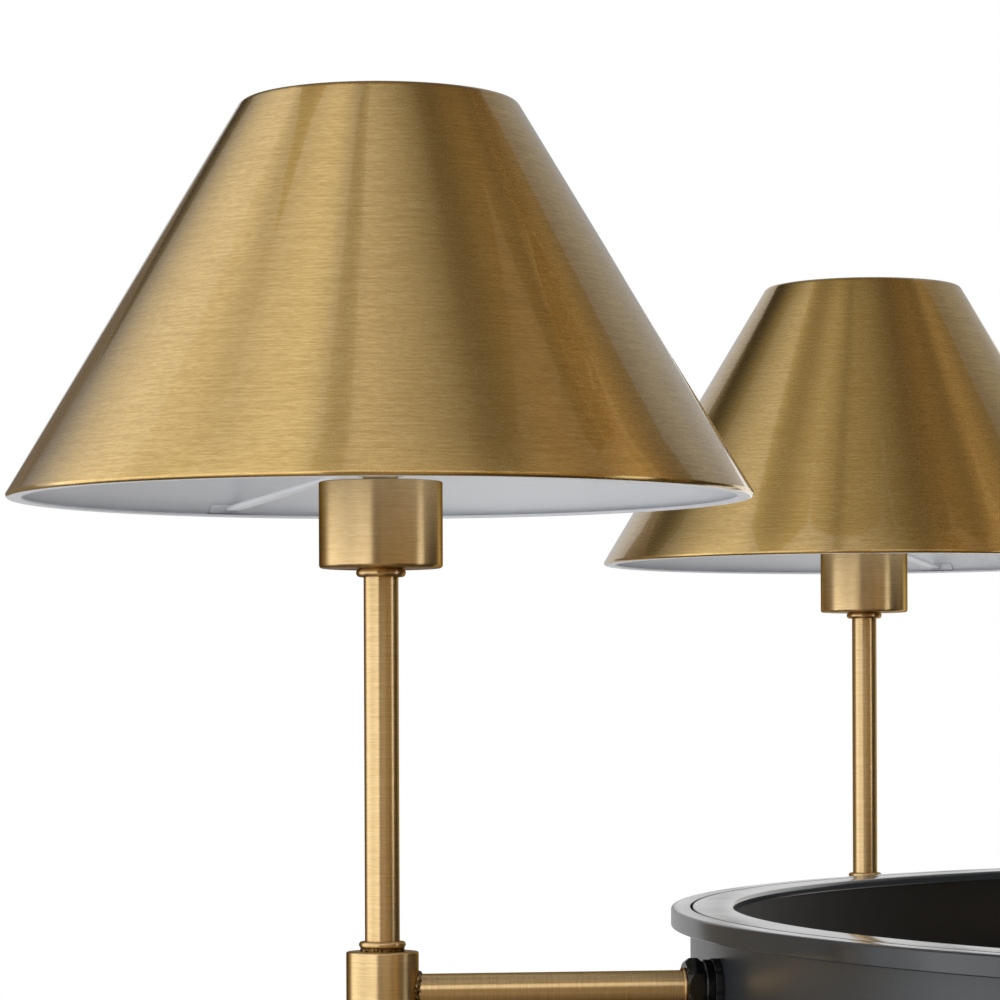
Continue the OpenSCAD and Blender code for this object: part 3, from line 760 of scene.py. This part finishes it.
class CHANDELIER_OT_arms(bpy.types.Operator):
    """Turns the arms and brazes a fillet round each where it meets its knuckle"""
    bl_idname = "chandelier.arms"
    bl_label = "Arms"

    def execute(self, context):
        s = context.scene.chandelier_lamp
        brass = turned_brass()
        lo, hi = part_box("arm_1")
        start, end = -hi.x, -lo.x
        arm = turned("arm", [tube(s.bore / 2, ARM_R, start, end, BROKEN_EDGE)], s.segments, brass,
                     step=15 * MM)
        fillet = self.fillet(s)
        for i in LAMPS:
            show(arm, f"turned_arm_{i}", on_spoke(i), "chandelier", "antique_brass", f"arm_{i}")
            show(fillet, f"brazed_fillet_{i}", at_lamp(i), "chandelier", "antique_brass")
        return {"FINISHED"}

    @staticmethod
    def fillet(s):
        """An uneven bead on the saddle where the round arm runs into the round knuckle."""
        knuckle_r, steps = span("knuckle_1").x / 2, 144
        turns = [2 * math.pi * k / steps for k in range(steps)]
        path = [Vector((-math.sqrt(knuckle_r ** 2 - (ARM_R * math.cos(t)) ** 2), ARM_R * math.cos(t),
                        ARM_R * math.sin(t))) for t in turns]

        def thickness(k):
            lumps = 0.25 * math.sin(7 * turns[k]) * math.cos(3 * turns[k])
            ripples = 0.1 * math.sin(19 * turns[k])
            return s.braze / 2 * (1 + lumps + ripples)

        bm = bmesh.new()
        swept(bm, path, thickness)
        return meshed("brazed_fillet", bm, toned_and_shaded_brass())


class CHANDELIER_OT_arm_nuts(bpy.types.Operator):
    """Cuts the hex nuts, washers and thin brass rings that hold the arms in the ring and the hub"""
    bl_idname = "chandelier.arm_nuts"
    bl_label = "Arm nuts"

    def execute(self, context):
        s, teeth = context.scene.chandelier_lamp, context.scene.chandelier_ring.washer_teeth
        black, dull, brass = dipped_enamel(), shaded_enamel(), turned_brass()
        bore_r, notch, faces_per_tooth = ARM_R + CLEARANCE, 0.4 * MM, 12
        flats = span("arm_nuts").z * math.cos(math.pi / 6)
        nuts = turned("arm_nuts", [nut_profile(bore_r, flats, a, b) for a, b in on_first_arm("arm_nuts")],
                      s.segments, black, shape=hexagon(flats), step=0.5 * MM)
        middle_r = (bore_r + span("lock_washers").z / 2) / 2
        toothed = knurl(notch, teeth, lambda r, z: r > middle_r, sharpness=2)
        # Painted shade: the lock washers take the darker black that stands for the shade between nut and band
        washers = turned("lock_washers", self.discs("lock_washers", bore_r, 0.25 * MM),
                         faces_per_tooth * teeth, dull, shape=toothed)
        plain = turned("plain_washers", self.discs("plain_washers", bore_r, 0.5 * MM), s.segments, black)
        trim = turned("trim_ring", self.discs("trim_rings", bore_r, BROKEN_EDGE), s.segments, brass)
        for i in LAMPS:
            place = on_spoke(i)
            show(nuts, f"hex_nuts_{i}", place, "chandelier", "black_enamel", "arm_nuts")
            show(washers, f"toothed_washers_{i}", place, "chandelier", "black_enamel", "lock_washers")
            show(plain, f"plain_washers_{i}", place, "chandelier", "black_enamel", "plain_washers")
            show(trim, f"trim_ring_{i}", place, "chandelier", "antique_brass", "trim_rings")
        return {"FINISHED"}

    @staticmethod
    def discs(node, bore_r, edge):
        """Profiles of a node's flat rings along the first arm."""
        return [tube(bore_r, span(node).z / 2, a, b, edge) for a, b in on_first_arm(node)]


class CHANDELIER_OT_ring(bpy.types.Operator):
    """Rolls the enamelled ring: flanged band, inner liner, and the plates let in between them"""
    bl_idname = "chandelier.ring"
    bl_label = "Ring"

    def execute(self, context):
        s = context.scene.chandelier_ring
        black, gloss, place = black_enamel(), polished_enamel(), on_axis(AXIS_Z)
        low, high = heights("ring_band")
        wall_r, out_r = radii("ring_band")
        seat, plate_high = heights("ring_cover")
        band_r, under, over = wall_r + s.wall, low + s.flange_t, high - s.flange_t
        crease, polished = 0.2 * MM, 1
        band = turned("band", [[
            (wall_r, -seat), (band_r, -seat), (band_r, low, crease, polished), (out_r, low, s.edge, polished),
            (out_r, under, s.edge / 2, polished), (band_r, under, BROKEN_EDGE),
            (band_r, over, BROKEN_EDGE, polished), (out_r, over, s.edge / 2, polished),
            (out_r, high, s.edge, polished), (band_r, high, crease), (band_r, seat), (wall_r, seat),
        ]], s.segments, black, gloss)
        show(band, "rolled_band", place, "chandelier", "black_enamel", "ring_band")
        liner_profile = tube(*radii("ring_liner"), *heights("ring_liner"))
        # Painted shade: the liner takes the darker black that stands for the shade inside the ring
        liner = turned("liner", [liner_profile], s.segments, shaded_enamel())
        show(liner, "rolled_liner", place, "chandelier", "black_enamel", "ring_liner")
        open_r, plate_r = radii("ring_cover")
        inner_edge, lip = 0.5 * MM, 1.2 * MM
        for node, name, flip in (("ring_cover", "cover_plate", 1), ("ring_base", "base_plate", -1)):
            plate = turned(node, [[
                (open_r, flip * seat, inner_edge), (open_r, flip * plate_high, lip),
                (plate_r, flip * plate_high, BROKEN_EDGE), (plate_r, flip * seat),
            ]], s.segments, gloss)
            show(plate, name, place, "chandelier", "black_enamel", node)
        return {"FINISHED"}


class CHANDELIER_OT_lampholders(bpy.types.Operator):
    """Moulds the lampholders and threads the screw shells inside them"""
    bl_idname = "chandelier.lampholders"
    bl_label = "Lampholders"

    def execute(self, context):
        s = context.scene.chandelier_lamp
        low, high = heights("lampholders")
        foot_r, seat_z = lamp_reach("lampholders"), heights("post_1")[1]
        body_r, foot_h, hole_r, depth = foot_r - 1.5 * MM, 5 * MM, 6 * MM, 18 * MM
        foot_top, floor, edge = low + foot_h, high - depth, 0.8 * MM
        groove, groove_drops = 0.6 * MM, (12 * MM, 8 * MM)
        grooves = [corner for z in [high - drop for drop in groove_drops] for corner in (
            (body_r, z - groove), (body_r - groove, z), (body_r, z + groove))]
        body = turned("lampholder", [[
            (POST_BORE_R, low), (foot_r, low, edge), (foot_r, foot_top, edge),
            (body_r, foot_top, BROKEN_EDGE), *grooves, (body_r, high, edge), (hole_r, high, edge / 2),
            (hole_r, floor), (0, floor), (0, seat_z), (POST_BORE_R, seat_z),
        ]], s.segments, moulded_phenolic())
        nickel, shell_r, sheet = nickel_brass(), hole_r - CLEARANCE, 0.35 * MM
        pitch, ridge, shell_gap, mouth = 2.54 * MM, 0.45 * MM, 1 * MM, 2 * MM
        shell = tube(shell_r - sheet, shell_r, floor + shell_gap, high - mouth)
        screw_shell = turned("screw_shell", [shell], s.segments, nickel, shape=thread(ridge, pitch),
                             step=pitch / 8)
        base_r, tip_r, tip_edge, side_h, tip_h = 2.4 * MM, 2.2 * MM, 0.4 * MM, 1 * MM, 1.6 * MM
        contact = [(0, floor), (base_r, floor), (tip_r, floor + side_h, tip_edge), (0, floor + tip_h)]
        centre = turned("centre_contact", [contact], s.segments, nickel)
        for i in LAMPS:
            place = at_lamp(i)
            show(body, f"moulded_lampholder_{i}", place, "chandelier", "phenolic", "lampholders")
            show(screw_shell, f"screw_shell_{i}", place, "chandelier", "zinc_steel")
            show(centre, f"centre_contact_{i}", place, "chandelier", "zinc_steel")
        return {"FINISHED"}


class CHANDELIER_OT_centre(bpy.types.Operator):
    """Finishes hub, stem and swivel, and turns the threaded nipple and the knurled ring under the canopy"""
    bl_idname = "chandelier.centre"
    bl_label = "Hub, stem and canopy"

    def execute(self, context):
        s = context.scene.chandelier_lamp
        brass, zinc = turned_brass(), zinc_steel()
        for node in ("hub", "hub_cap", "stem", "stem_beads", "swivel_fork", "swivel_tongue", "canopy"):
            finish_node(node, brass)
        for node in ("ceiling_strap", "swivel_pin"):
            finish_node(node, zinc)
        low, high = (v.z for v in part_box("nipple"))
        bore_r, head_r = radii("nipple")
        shank_r, head_top, head_edge = 6.35 * MM, low + 4 * MM, 0.4 * MM
        pitch, depth, skim = 1.4 * MM, 0.7 * MM, 0.01 * MM
        thread_end = high - ON_AXIS
        cut = thread(depth, pitch, lambda r, z: shank_r - skim <= r <= shank_r and head_top < z < thread_end)
        nipple = turned("nipple", [[
            (bore_r, low), (head_r, low, head_edge), (head_r, head_top, head_edge), (shank_r, head_top),
            (shank_r, high), (bore_r, high),
        ]], s.segments, zinc, shape=cut, step=pitch / 6)
        show(nipple, "threaded_nipple", on_axis(), "ceiling_mount", "zinc_steel", "nipple")
        low, high = (v.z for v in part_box("canopy_ring"))
        inner_r, outer_r = radii("canopy_ring")
        teeth, faces_per_tooth, tooth_h, edge = 72, 4, 0.35 * MM, 1 * MM
        grip_low, grip_high, grip_r = low + 1.2 * MM, high - 1.2 * MM, outer_r - 0.1 * MM
        grip = knurl(tooth_h, teeth, lambda r, z: grip_low < z < grip_high and r > grip_r)
        ring = turned("canopy_ring", [tube(inner_r, outer_r, low, high, edge)], faces_per_tooth * teeth,
                      brass, shape=grip, step=0.8 * MM)
        show(ring, "knurled_canopy_ring", on_axis(), "ceiling_mount", "antique_brass", "canopy_ring")
        return {"FINISHED"}


# Reflector cards round the first lamp: azimuth to the right of the camera and elevation, from and to in
# degrees, then brightness at the left and right edges, and colour. Large soft boxes stand on the left and in
# front, a narrow one on the right and a backdrop with a bright foot behind. The rest is a dim warm room.
# A card hides those after it.
DAYLIGHT, ROOM, BRASSY = "#FFFFFF", "#FFE6C4", "#FFDAA0"
CARDS = {
    "lamp_stand": (-26, -13, 34, 74, 0.4, 0.4, DAYLIGHT),
    "left_flat": (-162, -122, -30, 12, 0.15, 0.3, ROOM),
    "left_glow": (-186, -162, -30, 24, 0.5, 0.6, DAYLIGHT),
    "left_edge": (-162, -145, 10, 20, 0.16, 0.16, ROOM),
    "left_corner": (-174, -143, 20, 50, 0.02, 0.02, ROOM),
    "soft_box_heart": (-112, -64, -30, 14, 1.75, 1.35, DAYLIGHT),
    "soft_box_side": (-64, -15, -30, 14, 1.3, 1.65, DAYLIGHT),
    "soft_box_fold": (-97, -72, 14, 56, 0.85, 0.75, DAYLIGHT),
    "soft_box": (-147, -97, -30, 56, 0.15, 1.25, DAYLIGHT),
    "soft_box_top": (-150, -74, 56, 74, 0.15, 0.15, ROOM),
    "fill_card": (-74, -15, 14, 74, 1.0, 0.95, DAYLIGHT),
    "front_strip": (-15, 32, 8, 34, 1.5, 1.2, DAYLIGHT),
    "strip_end": (32, 64, 20, 28, 0.9, 0.7, ROOM),
    "camera_side": (-15, 1, -30, 8, 0.08, 0.16, BRASSY),
    "front_wall": (-15, 40, -30, 46, 0.3, 0.28, BRASSY),
    "front_ceiling": (-13, 57, 34, 74, 0.98, 0.08, DAYLIGHT),
    "right_ceiling": (57, 90, 30, 54, 0.34, 0.48, ROOM),
    "brass_flag": (90, 108, 18, 42, 0.6, 0.56, BRASSY),
    "right_wall": (40, 75, -30, 16, 0.5, 0.28, BRASSY),
    "strip_box": (75, 88, -30, 14, 1.6, 1.6, DAYLIGHT),
    "dark_side": (88, 135, -30, 10, 0.03, 0.03, ROOM),
    "backdrop": (122, 230, 10, 46, 0.38, 0.36, DAYLIGHT),
    "backdrop_foot": (135, 210, -30, 10, 1.0, 1.0, DAYLIGHT),
    "dark_flat": (57, 230, -30, 74, 0.12, 0.12, ROOM),
    "ceiling": (-180, 180, 74, 90, 0.12, 0.12, ROOM),
    "front_floor": (-70, 30, -90, -30, 0.34, 0.34, ROOM),
    "back_floor": (150, 210, -90, -60, 0.4, 0.4, ROOM),
    "floor_drape": (-180, 180, -90, -30, 0.05, 0.05, ROOM),
}


class CHANDELIER_OT_stage(bpy.types.Operator):
    """Sets the camera, the pale floor, the soft light and the reflector cards"""
    bl_idname = "chandelier.stage"
    bl_label = "Stage"

    def execute(self, context):
        s = context.scene.chandelier_stage
        context.scene.view_settings.view_transform = "Standard"
        self.camera(context.scene, s)
        self.world(context.scene, s)
        self.floor(s)
        self.key(s)
        for k, (name, card) in enumerate(CARDS.items()):
            self.card(s, name, s.card_r + s.card_gap * k, *card)
        return {"FINISHED"}

    @staticmethod
    def sight(s):
        """The camera's level right and forward directions."""
        right = Vector((math.cos(s.heading), -math.sin(s.heading), 0))
        return right, Vector((math.sin(s.heading), math.cos(s.heading), 0))

    def camera(self, scene, s):
        right, forward = self.sight(s)
        up = Vector((0, 0, 1))
        across = right * math.cos(s.roll) + up * math.sin(s.roll)
        upright = up * math.cos(s.roll) - right * math.sin(s.roll)
        data = bpy.data.cameras.new("camera")
        data.sensor_width, data.lens, data.shift_y = 36, s.lens, s.rise
        data.clip_start, data.clip_end = 0.05, 50
        made = bpy.data.objects.new("camera", data)
        scene.collection.objects.link(made)
        turn = Matrix((across, upright, -forward)).transposed().to_4x4()
        made.matrix_world = Matrix.Translation(s.eye) @ turn
        scene.camera = made

    @staticmethod
    def world(scene, s):
        """White to the eye and in reflections, and an even soft light on matt surfaces."""
        world = bpy.data.worlds.new("studio")
        world.use_nodes = True
        tree = world.node_tree
        tree.nodes.clear()
        path = add(tree, "ShaderNodeLightPath").outputs
        shown = path["Is Camera Ray"]
        for ray in ("Is Glossy Ray", "Is Transmission Ray"):
            shown = add(tree, "ShaderNodeMath", {0: shown, 1: path[ray]}, operation="MAXIMUM").outputs[0]
        soft = add(tree, "ShaderNodeBackground", {"Color": (1, 1, 1, 1), "Strength": s.ambient})
        white = add(tree, "ShaderNodeBackground", {"Color": (1, 1, 1, 1), "Strength": 1})
        mix = add(tree, "ShaderNodeMixShader", {0: shown, 1: soft.outputs[0], 2: white.outputs[0]})
        add(tree, "ShaderNodeOutputWorld", {"Surface": mix.outputs[0]})
        scene.world = world

    @staticmethod
    def floor(s):
        """A pale matt disc that fades out at its edge, and lets the eye through from below."""
        full_share = 0.35
        bm = bmesh.new()
        bmesh.ops.create_circle(bm, cap_ends=True, radius=s.floor_r, segments=96)
        material, tree = blank("pale_floor_paint")
        place = add(tree, "ShaderNodeTexCoord").outputs["Object"]
        far = add(tree, "ShaderNodeVectorMath", {0: place}, operation="LENGTH").outputs["Value"]
        fade = add(tree, "ShaderNodeMapRange", {"Value": far, "From Min": s.floor_r * full_share,
                                                "From Max": s.floor_r})
        under = add(tree, "ShaderNodeNewGeometry").outputs["Backfacing"]
        clear = add(tree, "ShaderNodeMath", {0: fade.outputs["Result"], 1: under}, operation="MAXIMUM")
        paint = add(tree, "ShaderNodeBsdfDiffuse", {"Color": (*linear("#F4F4F2"), 1)})
        gone = add(tree, "ShaderNodeBsdfTransparent")
        mix = add(tree, "ShaderNodeMixShader", {0: clear.outputs[0], 1: paint.outputs[0], 2: gone.outputs[0]})
        add(tree, "ShaderNodeOutputMaterial", {"Surface": mix.outputs[0]})
        made = bpy.data.objects.new("floor", meshed("floor", bm, material))
        bpy.context.scene.collection.objects.link(made)
        made.location.z = -s.floor_drop

    def key(self, s):
        """One large soft lamp on the left of the camera, low enough to shine into the shades."""
        right, forward = self.sight(s)
        data = bpy.data.lights.new("key", "AREA")
        data.shape, data.size, data.energy = "DISK", s.key_d, s.key
        made = bpy.data.objects.new("key", data)
        bpy.context.scene.collection.objects.link(made)
        aim = Vector((0, 0, AXIS_Z))
        aside, before, below = 2.2, 1.2, 0.3
        made.location = aim - right * aside - forward * before - Vector((0, 0, below))
        made.rotation_euler = (aim - made.location).to_track_quat("-Z", "Y").to_euler()
        made.visible_glossy = False

    def card(self, s, name, distance, left, right_edge, low, high, first, last, code):
        """A curved card that only shows in reflections; its brightness runs from first to last."""
        right, forward = self.sight(s)
        facet = 6
        across, up = (max(2, round(reach / facet)) for reach in (right_edge - left, high - low))
        bm = bmesh.new()
        shine = bm.verts.layers.float.new("shine")
        grid = []
        for j in range(up + 1):
            lift = math.radians(low + (high - low) * j / up)
            row = []
            for k in range(across + 1):
                turn = math.radians(left + (right_edge - left) * k / across)
                level = right * math.sin(turn) - forward * math.cos(turn)
                outwards = level * math.cos(lift) + Vector((0, 0, math.sin(lift)))
                row.append(bm.verts.new(distance * outwards))
                row[-1][shine] = first + (last - first) * k / across
            grid.append(row)
        for row, above in zip(grid, grid[1:]):
            for k in range(across):
                bm.faces.new((row[k], row[k + 1], above[k + 1], above[k]))
        material, tree = blank(f"{name}_card")
        strength = add(tree, "ShaderNodeAttribute", attribute_name="shine").outputs["Fac"]
        glow = add(tree, "ShaderNodeEmission", {"Color": (*linear(code), 1), "Strength": strength})
        add(tree, "ShaderNodeOutputMaterial", {"Surface": glow.outputs[0]})
        made = bpy.data.objects.new(name, meshed(name, bm, material))
        bpy.context.scene.collection.objects.link(made)
        made.location = middle("shade_1")
        made.visible_camera = made.visible_diffuse = made.visible_shadow = made.visible_transmission = False


class CHANDELIER_PT_pieces(bpy.types.Panel):
    """Lists the settings and the operators that make the pieces"""
    bl_idname = "CHANDELIER_PT_pieces"
    bl_label = "Ring chandelier"
    bl_space_type = "VIEW_3D"
    bl_region_type = "UI"
    bl_category = "Chandelier"

    def draw(self, context):
        for name, group in SETTINGS.items():
            box = self.layout.box()
            for key in group.__annotations__:
                box.prop(getattr(context.scene, name), key)
        for operator in OPERATORS:
            self.layout.operator(operator.bl_idname)


SETTINGS = {
    "chandelier_finish": FinishSettings,
    "chandelier_shade": ShadeSettings,
    "chandelier_lamp": LampSettings,
    "chandelier_ring": RingSettings,
    "chandelier_stage": StageSettings,
}
OPERATORS = (
    CHANDELIER_OT_shades, CHANDELIER_OT_spiders, CHANDELIER_OT_posts, CHANDELIER_OT_arms,
    CHANDELIER_OT_arm_nuts, CHANDELIER_OT_ring, CHANDELIER_OT_lampholders, CHANDELIER_OT_centre,
    CHANDELIER_OT_stage,
)


def register():
    for made in (*SETTINGS.values(), *OPERATORS, CHANDELIER_PT_pieces):
        bpy.utils.register_class(made)
    for name, group in SETTINGS.items():
        setattr(bpy.types.Scene, name, PointerProperty(type=group))


def unregister():
    for name in SETTINGS:
        delattr(bpy.types.Scene, name)
    for made in (CHANDELIER_PT_pieces, *OPERATORS, *SETTINGS.values()):
        bpy.utils.unregister_class(made)


def main():
    register()
    bpy.ops.chandelier.shades()
    bpy.ops.chandelier.spiders()
    bpy.ops.chandelier.posts()
    bpy.ops.chandelier.arms()
    bpy.ops.chandelier.arm_nuts()
    bpy.ops.chandelier.ring()
    bpy.ops.chandelier.lampholders()
    bpy.ops.chandelier.centre()
    bpy.ops.chandelier.stage()


if __name__ == "__main__":
    main()
